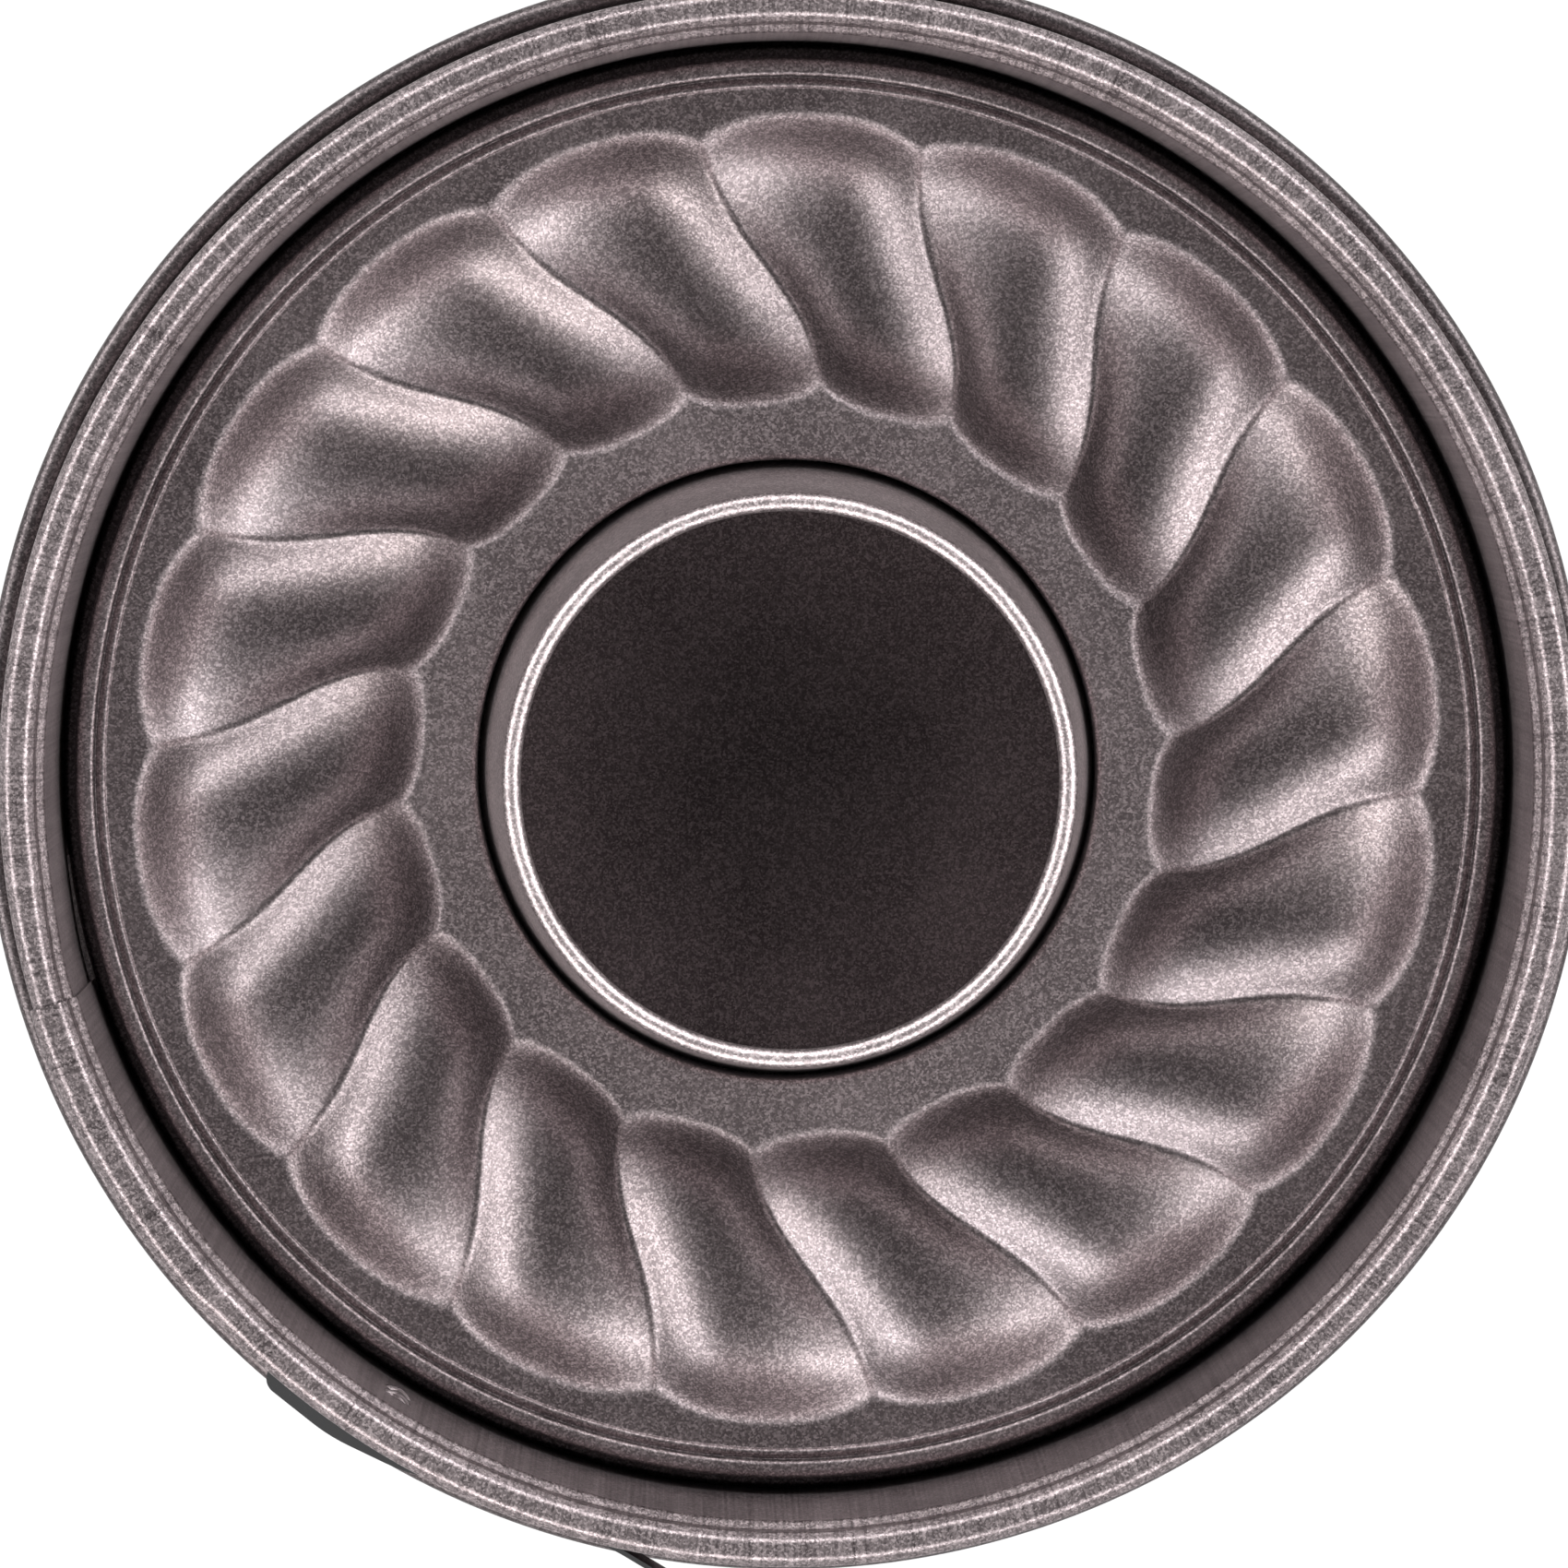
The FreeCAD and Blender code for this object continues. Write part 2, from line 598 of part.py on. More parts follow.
def latch_lever():
    """Lever of folded strip: web, two side flanges at the pivots, and the plain handle."""
    web_points = lever_points()
    low = BUCKLE_HEIGHT - LEVER_HEIGHT / 2
    web = sheet_face(web_points, BUCKLE_SHEET, plan(low)).extrude(UP * LEVER_HEIGHT)
    first, second, last = FLANGE_SWEEPS
    outline = web_points[1:5] + [
        lever_spot(0.0, last, 0.0),
        lever_spot(-FLANGE_REACH, second, FLANGE_CORNERS[1]),
        lever_spot(-FLANGE_REACH, first, FLANGE_CORNERS[0]),
    ]
    flange = rounded_plate(outline, low, BUCKLE_SHEET)
    upper = flange.copy()
    upper.translate(UP * (LEVER_HEIGHT - BUCKLE_SHEET))
    lever = web.fuse([flange, upper]).removeSplitter()
    pivot, _, _ = pivot_frame()
    for place, radius in ((pivot, PIN_RADIUS), (link_pivot(), WIRE_RADIUS)):
        foot = place + UP * (low - 1)
        lever = lever.cut(Part.makeCylinder(radius + RUNNING_GAP, LEVER_HEIGHT + 2, foot))
    return lever.cut(tip_cutters())


def ear_bottoms():
    """Undersides of the bracket's lower and upper ear."""
    gap = LEVER_HEIGHT / 2 + MOVING_GAP
    return BUCKLE_HEIGHT - gap - BUCKLE_SHEET, BUCKLE_HEIGHT + gap


def lever_bracket():
    """Bracket on the band: a curved plate with two ears for the fulcrum pin."""
    pivot, out, along = pivot_frame()
    low, high = ear_bottoms()
    inner = RING_INNER_RADIUS + BAND_SHEET + SEAT_GAP
    height = high + BUCKLE_SHEET - low
    plate = wall_plate(inner, BUCKLE_SHEET, low, height, BRACKET_START, BRACKET_END)
    root = polar(inner + BUCKLE_SHEET / 2, PIVOT_ANGLE)
    spots = [
        (pivot + out * EAR_RADIUS - along * EAR_RADIUS, EAR_RADIUS),
        (root - along * EAR_RADIUS, 0.0),
        (root + along * EAR_RADIUS, 0.0),
        (pivot + out * EAR_RADIUS + along * EAR_RADIUS, EAR_RADIUS),
    ]
    ear_points = [(p.x, p.y, corner) for p, corner in spots]
    ears = [rounded_plate(ear_points, bottom, BUCKLE_SHEET) for bottom in (low, high)]
    bracket = plate.fuse(ears)
    bracket = bracket.cut(Part.makeCylinder(PIN_RADIUS + RUNNING_GAP, height + 2, pivot + UP * (low - 1)))
    return drilled(bracket, inner - BUCKLE_SHEET, RIVET_ANGLE)


def rivet(inner_face, outer_face, head_inside):
    """Rivet along +X through a wall between two radii, with a domed head outside."""
    shank_start = inner_face - SEAT_GAP
    length = outer_face - inner_face + 2 * SEAT_GAP
    shank = Part.makeCylinder(RIVET_RADIUS, length, Vector(shank_start, 0, 0), Vector(1, 0, 0))
    domes = [(outer_face + SEAT_GAP, 1)]
    if head_inside:
        domes.append((shank_start, -1))
    solids = [shank]
    for seat, way in domes:
        ball = (RIVET_HEAD_RADIUS ** 2 + RIVET_HEAD ** 2) / (2 * RIVET_HEAD)
        dome = Part.makeSphere(ball, Vector(seat + way * (RIVET_HEAD - ball), 0, 0))
        slab = Part.makeCylinder(RIVET_HEAD_RADIUS, RIVET_HEAD, Vector(seat, 0, 0), Vector(way, 0, 0))
        solids.append(dome.common(slab))
    return solids[0].fuse(solids[1:]).removeSplitter()


def rivets(inner_face, outer_face, degrees, head_inside):
    """A pair of equal rivets, one above the other."""
    one = rivet(inner_face, outer_face, head_inside)
    pair = []
    for height in rivet_heights():
        copy = one.copy()
        copy.translate(UP * height)
        pair.append(turned(copy, degrees))
    return Part.makeCompound(pair)


def bracket_rivets():
    """Rivets that hold the bracket on the band, with heads on the inside of the pan."""
    inner = RING_INNER_RADIUS
    return rivets(inner, inner + BAND_SHEET + SEAT_GAP + BUCKLE_SHEET, RIVET_ANGLE, True)


def hook_rivets():
    """Rivets of the catch, flush on the side that slides on the band's other layer."""
    inner = RING_INNER_RADIUS + LAP
    return rivets(inner + SEAT_GAP, inner + BAND_SHEET + SEAT_GAP + BUCKLE_SHEET, hook_rivet_angle(), False)


def catch_hook():
    """Catch on the tail: a curved plate whose end curls outwards and back into a hook."""
    inner = RING_INNER_RADIUS + LAP + BAND_SHEET + SEAT_GAP
    low = BUCKLE_HEIGHT - HOOK_HEIGHT / 2
    plate = wall_plate(inner, BUCKLE_SHEET, low, HOOK_HEIGHT, HOOK_ANGLE - HOOK_PLATE_ANGLE, HOOK_ANGLE)
    start = polar(inner + BUCKLE_SHEET / 2, HOOK_ANGLE)
    out, along = polar(1, HOOK_ANGLE), polar(1, HOOK_ANGLE + 90)
    spots = [
        (start, 0.0),
        (start + along * HOOK_BEND, HOOK_BEND),
        (start + along * HOOK_BEND + out * 2 * HOOK_BEND, HOOK_BEND),
        (start - along * HOOK_TAB + out * 2 * HOOK_BEND, 0.0),
    ]
    points = [(p.x, p.y, corner) for p, corner in spots]
    curl = sheet_face(points, BUCKLE_SHEET, plan(low)).extrude(UP * HOOK_HEIGHT)
    hook = plate.fuse(curl).removeSplitter()
    return drilled(hook, inner - BUCKLE_SHEET, hook_rivet_angle())


def fulcrum_pin():
    """Pin through the bracket's ears and the lever's flanges, with a flat head at each end."""
    pivot, _, _ = pivot_frame()
    low, high = ear_bottoms()
    bottom, top = low - SEAT_GAP, high + BUCKLE_SHEET + SEAT_GAP
    shank = Part.makeCylinder(PIN_RADIUS, top - bottom, pivot + UP * bottom)
    heads = [Part.makeCylinder(PIN_HEAD_RADIUS, PIN_HEAD, pivot + UP * z) for z in (bottom - PIN_HEAD, top)]
    return shank.fuse(heads).removeSplitter()


def arm_height():
    """Height of the link's arms above and below the buckle's middle: clear of the pin's heads."""
    _, high = ear_bottoms()
    return high + BUCKLE_SHEET + SEAT_GAP + PIN_HEAD + MOVING_GAP + WIRE_RADIUS - BUCKLE_HEIGHT


def link_bail():
    """Wire link: crossbar in the hook, two arms, and ends turned in through the lever's flanges."""
    pivot, bar = link_pivot(), crossbar_place()
    reach = arm_height()
    end = LEVER_HEIGHT / 2 - BUCKLE_SHEET - WIRE_RADIUS
    rises = [(pivot, end), (pivot, reach), (bar, reach), (bar, -reach), (pivot, -reach), (pivot, -end)]
    knots = [place + UP * (BUCKLE_HEIGHT + rise) for place, rise in rises]
    edges, last = [], knots[0]
    for i in range(1, len(knots) - 1):
        towards = (knots[i] - knots[i - 1]).normalize()
        away = (knots[i + 1] - knots[i]).normalize()
        first, final = knots[i] - towards * LINK_BEND, knots[i] + away * LINK_BEND
        centre = first + away * LINK_BEND
        middle = centre + ((knots[i] - centre).normalize() * LINK_BEND)
        edges.append(Part.LineSegment(last, first).toShape())
        edges.append(Part.Arc(first, middle, final).toShape())
        last = final
    edges.append(Part.LineSegment(last, knots[-1]).toShape())
    path = Part.Wire(edges)
    ring = Part.Wire(Part.Circle(knots[0], knots[1] - knots[0], WIRE_RADIUS).toShape())
    return path.makePipeShell([ring], True, False)


PARTS = {
    "base_plate": base_plate,
    "ring_band": ring_band,
    "fluted_insert": fluted_insert,
    "tube": tube,
    "lever_bracket": lever_bracket,
    "bracket_rivets": bracket_rivets,
    "catch_hook": catch_hook,
    "hook_rivets": hook_rivets,
    "fulcrum_pin": fulcrum_pin,
    "latch_lever": latch_lever,
    "link_bail": link_bail,
}


def main():
    """Builds every piece and writes it to its own file."""
    os.makedirs("parts", exist_ok=True)
    for name, build in PARTS.items():
        shape = build()
        print(name, "solids", len(shape.Solids), "valid", shape.isValid(), "volume", round(shape.Volume, 1))
        shape.exportStep(os.path.join("parts", name + ".step"))


main()
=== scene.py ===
"""Looks of the springform tube pan: coated sheet pieces, chromed buckle, studio and camera.

Lengths in the classes are millimetres, as in the part's source, and become metres when a mesh is made.
Angles are degrees, anticlockwise from +X, seen from above.
"""

import logging
import math
from dataclasses import dataclass, field
from enum import Enum
from typing import Sequence

import bmesh
import bpy
import numpy as np
from mathutils import Matrix, Vector


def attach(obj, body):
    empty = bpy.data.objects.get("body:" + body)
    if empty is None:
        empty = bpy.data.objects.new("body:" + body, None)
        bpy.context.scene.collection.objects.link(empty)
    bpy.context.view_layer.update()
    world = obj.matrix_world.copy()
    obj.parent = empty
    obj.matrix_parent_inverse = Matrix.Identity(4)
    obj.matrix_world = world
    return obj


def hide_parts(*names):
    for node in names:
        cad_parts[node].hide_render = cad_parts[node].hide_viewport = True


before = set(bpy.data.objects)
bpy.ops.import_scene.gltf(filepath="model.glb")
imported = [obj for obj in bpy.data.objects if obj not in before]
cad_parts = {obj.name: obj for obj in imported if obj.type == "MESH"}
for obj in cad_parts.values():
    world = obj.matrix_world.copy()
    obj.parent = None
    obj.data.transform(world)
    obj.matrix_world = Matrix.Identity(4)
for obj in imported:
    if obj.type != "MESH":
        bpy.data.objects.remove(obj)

LOG = logging.getLogger("pan")
MILLIMETRE = 0.001
IMAGE_WIDTH = 1700.0

Corner = tuple[float, float, float]
Colour = tuple[float, float, float]
Operand = bpy.types.NodeSocket | float


class Shell(Enum):
    """How a grid of points closes on itself."""

    ROUND = "round"
    STRIP = "strip"


class Slot(Enum):
    """Material slots of the record."""

    COATING = "coating"
    CHROME = "chrome"


@dataclass(frozen=True)
class Sheets:
    """Sheet thicknesses and gaps that several pieces share."""

    plate: float = 0.6
    band: float = 0.5
    insert: float = 0.6
    tube: float = 0.6
    seat_gap: float = 0.05
    moving_gap: float = 0.3
    lap_gap: float = 0.15
    floor_height: float = 2.4
    ring_radius: float = 130.0

    @property
    def floor_top(self) -> float:
        """Upper face of the base plate's floor."""
        return self.floor_height + self.plate

    @property
    def lap(self) -> float:
        """Step from one layer of the band to the next."""
        return self.band + self.lap_gap


SHEETS = Sheets()


def rounded_line(corners: Sequence[Corner], arc_step: float = 12.0, support: float = 0.25) -> np.ndarray:
    """Middle line of a bent sheet: straight runs joined by arcs, with a support point near each arc's ends.

    Args:
        corners: Points (x, y, radius) of the unrounded path.
        arc_step: Largest turn between two points of an arc, in degrees.
        support: Distance from an arc's end to the extra point on the straight run.

    Returns:
        Points of the line, one row each.
    """
    flat = np.array([corner[:2] for corner in corners], float)
    runs = np.diff(flat, axis=0)
    lengths = np.linalg.norm(runs, axis=1)
    ways = runs / lengths[:, None]
    cross = ways[:-1, 0] * ways[1:, 1] - ways[:-1, 1] * ways[1:, 0]
    turns = np.arctan2(cross, np.sum(ways[:-1] * ways[1:], axis=1))
    radii = np.array([corner[2] for corner in corners])
    reaches = np.zeros(len(flat))
    reaches[1:-1] = radii[1:-1] * np.abs(np.tan(turns / 2))
    free = lengths - reaches[:-1] - reaches[1:]
    pieces: list[np.ndarray] = [flat[:1]]
    for i in range(1, len(flat) - 1):
        before, after, turn = ways[i - 1], ways[i], turns[i - 1]
        start = flat[i] - before * reaches[i]
        side = np.array([-before[1], before[0]]) * math.copysign(radii[i], turn)
        count = max(2, int(abs(math.degrees(turn)) / arc_step) + 2)
        angles = np.linspace(0.0, turn, count)[:, None]
        arc = start + side - side * np.cos(angles) + before * radii[i] * np.sin(np.abs(angles))
        if free[i - 1] > 2.5 * support:
            pieces.append((start - before * support)[None])
        pieces.append(arc)
        if free[i] > 2.5 * support:
            pieces.append((arc[-1] + after * support)[None])
    pieces.append(flat[-1:])
    line = np.concatenate(pieces)
    steps = np.linalg.norm(np.diff(line, axis=0), axis=1)
    return line[np.concatenate([[True], steps > 1e-6])]


def line_normals(line: np.ndarray) -> np.ndarray:
    """Unit normals to the left of a line, by central differences along it."""
    way = np.gradient(line, axis=0)
    way = way / np.linalg.norm(way, axis=1, keepdims=True)
    return np.stack([-way[:, 1], way[:, 0]], axis=1)


def sheet_outline(line: np.ndarray, sheet: float) -> np.ndarray:
    """Closed outline of a sheet: the line moved half a sheet to its left, then back on its right."""
    side = line_normals(line) * sheet / 2
    return np.concatenate([line + side, (line - side)[::-1]])


def lathe(outline: np.ndarray, count: int) -> np.ndarray:
    """Grid of points: the outline (radius, height) turned about the pan's axis in equal steps.

    Args:
        outline: Points (radius, height).
        count: Number of steps round the axis.

    Returns:
        Array of angles by outline points by 3.
    """
    angles = np.linspace(0.0, 2 * math.pi, count, endpoint=False)[:, None]
    radius, height = outline[:, 0][None], outline[:, 1][None]
    return np.stack([radius * np.cos(angles), radius * np.sin(angles), height + 0 * angles], axis=-1)


def grid_faces(rows: int, columns: int, wrap_rows: bool) -> np.ndarray:
    """Quads between neighbouring points of a grid whose columns always close on themselves."""
    last = rows if wrap_rows else rows - 1
    i, j = np.meshgrid(np.arange(last), np.arange(columns), indexing="ij")
    up, right = (i + 1) % rows, (j + 1) % columns
    row, next_row = i * columns, up * columns
    return np.stack([row + j, next_row + j, next_row + right, row + right], -1).reshape(-1, 4)


def end_caps(rows: int, columns: int) -> np.ndarray:
    """Quads that close both ends of a strip whose outline runs up one side of a sheet and back on the other."""
    half = columns // 2
    j = np.arange(half - 1)
    first = np.stack([j, j + 1, columns - 2 - j, columns - 1 - j], -1)
    return np.concatenate([first, first[:, ::-1] + (rows - 1) * columns])


def make_piece(name: str, grids: Sequence[tuple[np.ndarray, Shell]], sharp: float = 50.0) -> bpy.types.Object:
    """Object made of closed grids of points, given in millimetres.

    Args:
        name: Name of the object.
        grids: Grids of points with the way each closes.
        sharp: Edges that turn more than this, in degrees, stay sharp.

    Returns:
        The linked object, at the world's origin.
    """
    points, faces, offset = [], [], 0
    for grid, shell in grids:
        rows, columns = grid.shape[:2]
        quads = grid_faces(rows, columns, shell is Shell.ROUND)
        if shell is Shell.STRIP:
            quads = np.concatenate([quads, end_caps(rows, columns)])
        points.append(grid.reshape(-1, 3))
        faces.append(quads + offset)
        offset += rows * columns
    mesh = bpy.data.meshes.new(name)
    mesh.from_pydata(np.concatenate(points) * MILLIMETRE, [], np.concatenate(faces))
    work = bmesh.new()
    work.from_mesh(mesh)
    bmesh.ops.remove_doubles(work, verts=work.verts, dist=1e-7)
    bare_edges = [edge for edge in work.edges if not edge.link_faces]
    bmesh.ops.delete(work, geom=bare_edges, context="EDGES")
    bmesh.ops.recalc_face_normals(work, faces=work.faces)
    work.to_mesh(mesh)
    work.free()
    mesh.polygons.foreach_set("use_smooth", np.ones(len(mesh.polygons), bool))
    mesh.set_sharp_from_angle(angle=math.radians(sharp))
    mesh.update()
    piece = bpy.data.objects.new(name, mesh)
    bpy.context.scene.collection.objects.link(piece)
    return piece


def smooth_step(values: np.ndarray) -> np.ndarray:
    """0 to 1 with level ends: 3x² - 2x³ of the values held between 0 and 1."""
    share = np.clip(values, 0.0, 1.0)
    return share * share * (3 - 2 * share)


def new_group(name: str, inputs: dict[str, tuple[str, float]], outputs: dict[str, str]) -> bpy.types.NodeTree:
    """Empty shader node group with named sockets.

    Args:
        name: Name of the group.
        inputs: Socket name to (socket type, default value).
        outputs: Socket name to socket type.

    Returns:
        The group, with its input and output nodes.
    """
    group = bpy.data.node_groups.new(name, "ShaderNodeTree")
    for label, (kind, value) in inputs.items():
        socket = group.interface.new_socket(name=label, in_out="INPUT", socket_type=kind)
        if kind == "NodeSocketFloat":
            socket.default_value = value
    for label, kind in outputs.items():
        group.interface.new_socket(name=label, in_out="OUTPUT", socket_type=kind)
    group.nodes.new("NodeGroupInput").name = "in"
    group.nodes.new("NodeGroupOutput").name = "out"
    return group


def math_node(
    tree: bpy.types.NodeTree, operation: str, first: Operand, second: Operand = 0.0
) -> bpy.types.NodeSocket:
    """Output of a Math node whose inputs are sockets or numbers."""
    node = tree.nodes.new("ShaderNodeMath")
    node.operation = operation
    for socket, value in zip(node.inputs, (first, second)):
        if isinstance(value, (int, float)):
            socket.default_value = value
        else:
            tree.links.new(value, socket)
    return node.outputs[0]


def speckle_group() -> bpy.types.NodeTree:
    """Coat effect: fine metallic flakes, a slight mottle, and an orange-peel height for the bump."""
    group = new_group(
        "coat_speckle",
        {"Vector": ("NodeSocketVector", 0.0), "Flake Scale": ("NodeSocketFloat", 3000.0),
         "Mottle Scale": ("NodeSocketFloat", 45.0), "Peel Scale": ("NodeSocketFloat", 900.0)},
        {"Flakes": "NodeSocketFloat", "Mottle": "NodeSocketFloat", "Peel": "NodeSocketFloat"},
    )
    nodes, links = group.nodes, group.links
    entry, leave = nodes["in"], nodes["out"]
    flakes = nodes.new("ShaderNodeTexVoronoi")
    flakes.feature = "F1"
    mottle = nodes.new("ShaderNodeTexNoise")
    mottle.inputs["Detail"].default_value = 4.0
    peel = nodes.new("ShaderNodeTexNoise")
    peel.inputs["Detail"].default_value = 2.0
    for node, scale in ((flakes, "Flake Scale"), (mottle, "Mottle Scale"), (peel, "Peel Scale")):
        links.new(entry.outputs["Vector"], node.inputs["Vector"])
        links.new(entry.outputs[scale], node.inputs["Scale"])
    split = nodes.new("ShaderNodeSeparateColor")
    links.new(flakes.outputs["Color"], split.inputs["Color"])
    links.new(split.outputs["Red"], leave.inputs["Flakes"])
    links.new(mottle.outputs["Fac"], leave.inputs["Mottle"])
    links.new(peel.outputs["Fac"], leave.inputs["Peel"])
    return group


def streak_group() -> bpy.types.NodeTree:
    """Rolling marks of the sheet: noise stretched along the pan's axis, read at the scaled angle and height."""
    group = new_group(
        "rolling_streaks",
        {"Vector": ("NodeSocketVector", 0.0), "Fineness": ("NodeSocketFloat", 1.0),
         "Height Scale": ("NodeSocketFloat", 6.0)},
        {"Streak": "NodeSocketFloat"},
    )
    nodes, links = group.nodes, group.links
    entry, leave = nodes["in"], nodes["out"]
    split = nodes.new("ShaderNodeSeparateXYZ")
    links.new(entry.outputs["Vector"], split.inputs[0])
    angle = math_node(group, "ARCTAN2", split.outputs["Y"], split.outputs["X"])
    join = nodes.new("ShaderNodeCombineXYZ")
    links.new(math_node(group, "MULTIPLY", angle, entry.outputs["Fineness"]), join.inputs["X"])
    links.new(math_node(group, "MULTIPLY", split.outputs["Z"], entry.outputs["Height Scale"]), join.inputs["Y"])
    noise = nodes.new("ShaderNodeTexNoise")
    noise.inputs["Scale"].default_value = 1.0
    noise.inputs["Detail"].default_value = 3.0
    links.new(join.outputs[0], noise.inputs["Vector"])
    links.new(noise.outputs["Fac"], leave.inputs["Streak"])
    return group


@dataclass(frozen=True)
class CoatFinish:
    """Satin metallic non-stick coat over steel sheet."""

    name: str
    dark: Colour = (0.060, 0.049, 0.051)
    light: Colour = (0.360, 0.309, 0.315)
    roughness: float = 0.45
    roughness_spread: float = 0.06
    metallic: float = 1.0
    flake_power: float = 2.0
    flake_share: float = 0.75
    mottle_share: float = 0.45
    flake_height: float = 0.6
    peel_height: float = 0.07
    peel_depth: float = 0.00005
    streaks: float = 0.0
    streak_fineness: float = 260.0

    def build(self, speckle: bpy.types.NodeTree, streak: bpy.types.NodeTree) -> bpy.types.Material:
        """Material with flakes and mottle in its colour and roughness, and peel in its bump.

        Args:
            speckle: The coat effect group.
            streak: The rolling streak group.

        Returns:
            The finished material.
        """
        material = bpy.data.materials.new(self.name)
        material.use_nodes = True
        tree = material.node_tree
        nodes, links = tree.nodes, tree.links
        shader = nodes["Principled BSDF"]
        shader.inputs["Metallic"].default_value = self.metallic
        shader.inputs["Specular IOR Level"].default_value = 0.5
        where = nodes.new("ShaderNodeTexCoord").outputs["Object"]
        effect = nodes.new("ShaderNodeGroup")
        effect.node_tree = speckle
        links.new(where, effect.inputs["Vector"])
        marks = nodes.new("ShaderNodeGroup")
        marks.node_tree = streak
        marks.inputs["Fineness"].default_value = self.streak_fineness
        links.new(where, marks.inputs["Vector"])
        centred = math_node(tree, "SUBTRACT", marks.outputs["Streak"], 0.5)
        streaked = math_node(tree, "MULTIPLY", centred, self.streaks)
        sparkle = math_node(tree, "POWER", effect.outputs["Flakes"], self.flake_power)
        flaked = math_node(tree, "MULTIPLY", sparkle, self.flake_share)
        mottled = math_node(tree, "MULTIPLY", effect.outputs["Mottle"], self.mottle_share)
        share = math_node(tree, "ADD", math_node(tree, "ADD", flaked, mottled), streaked)
        ramp = nodes.new("ShaderNodeValToRGB")
        ramp.color_ramp.elements[0].color = (*self.dark, 1.0)
        ramp.color_ramp.elements[1].color = (*self.light, 1.0)
        links.new(share, ramp.inputs[0])
        links.new(ramp.outputs[0], shader.inputs["Base Color"])
        spread = math_node(tree, "MULTIPLY", share, self.roughness_spread)
        lowest = self.roughness - self.roughness_spread / 2
        links.new(math_node(tree, "ADD", spread, lowest), shader.inputs["Roughness"])
        bump = nodes.new("ShaderNodeBump")
        bump.inputs["Strength"].default_value = self.peel_height
        bump.inputs["Distance"].default_value = self.peel_depth
        raised = math_node(tree, "MULTIPLY", effect.outputs["Flakes"], self.flake_height)
        links.new(math_node(tree, "ADD", effect.outputs["Peel"], raised), bump.inputs["Height"])
        links.new(bump.outputs[0], shader.inputs["Normal"])
        return material


@dataclass(frozen=True)
class ChromeFinish:
    """Bright chrome plate with faint handling marks."""

    name: str = "chrome_plate"
    colour: Colour = (0.73, 0.73, 0.74)
    roughness: float = 0.03
    mark_scale: float = 160.0
    mark_share: float = 0.12

    def build(self, speckle: bpy.types.NodeTree) -> bpy.types.Material:
        """Material whose roughness varies a little over the surface.

        Args:
            speckle: The coat effect group, used here for its mottle alone.

        Returns:
            The finished material.
        """
        material = bpy.data.materials.new(self.name)
        material.use_nodes = True
        tree = material.node_tree
        shader = tree.nodes["Principled BSDF"]
        shader.inputs["Base Color"].default_value = (*self.colour, 1.0)
        shader.inputs["Metallic"].default_value = 1.0
        effect = tree.nodes.new("ShaderNodeGroup")
        effect.node_tree = speckle
        effect.inputs["Mottle Scale"].default_value = self.mark_scale
        tree.links.new(tree.nodes.new("ShaderNodeTexCoord").outputs["Object"], effect.inputs["Vector"])
        marks = math_node(tree, "MULTIPLY", effect.outputs["Mottle"], self.mark_share)
        tree.links.new(math_node(tree, "ADD", marks, self.roughness), shader.inputs["Roughness"])
        return material


@dataclass
class BasePlate:
    """Floor, seal bead, channel for the ring's hem and leak guard lip, turned from one bent sheet."""

    bead_height: float = 1.6
    bead_width: float = 2.8
    hook: float = 1.5
    hook_drop: float = 0.6
    channel_width: float = 6.2
    lip_radius: float = 143.8
    lip_top: float = 12.5
    roll_radius: float = 2.0
    bead_bend: float = 0.8
    hook_bend: float = 0.5
    channel_bend: float = 1.5
    floor_mark: float = 40.0
    floor_bend: float = 20.0
    count: int = 288

    def corners(self) -> list[Corner]:
        """Unrounded middle line of the plate, from the axis to the end of the rolled lip."""
        half = SHEETS.plate / 2
        floor = SHEETS.floor_height + half
        overhang = SHEETS.ring_radius - SHEETS.moving_gap - half
        neck = overhang - self.hook
        bead_inner = overhang - self.bead_width
        roll = self.roll_radius - half
        roll_outer = self.lip_radius - half
        roll_inner = roll_outer - 2 * roll
        top = self.lip_top - half
        hook = floor + self.hook_drop / 2
        return [
            (0.0, floor, 0.0),
            (self.floor_mark, floor, self.floor_bend),
            (bead_inner - self.bead_bend, floor, self.bead_bend),
            (bead_inner, floor + self.bead_height, self.bead_bend),
            (overhang, floor + self.bead_height, self.bead_bend),
            (overhang, hook, self.hook_bend),
            (neck, hook - self.hook_drop, self.hook_bend),
            (neck, half, self.hook_bend),
            (neck + self.channel_width, half, self.channel_bend),
            (roll_inner, top - 2 * roll, self.roll_radius),
            (roll_inner, top, roll),
            (roll_outer, top, roll),
            (roll_outer, top - 2 * roll, roll),
            (roll_inner + roll, top - 2 * roll, 0.0),
        ]

    def build(self, material: bpy.types.Material) -> bpy.types.Object:
        """The plate's piece, turned about the axis."""
        outline = sheet_outline(rounded_line(self.corners()), SHEETS.plate)
        outline[:, 0] = np.maximum(outline[:, 0], 0.0)
        piece = make_piece("coated_base_plate", [(lathe(outline, self.count), Shell.ROUND)])
        return dress(piece, material, "base_plate")


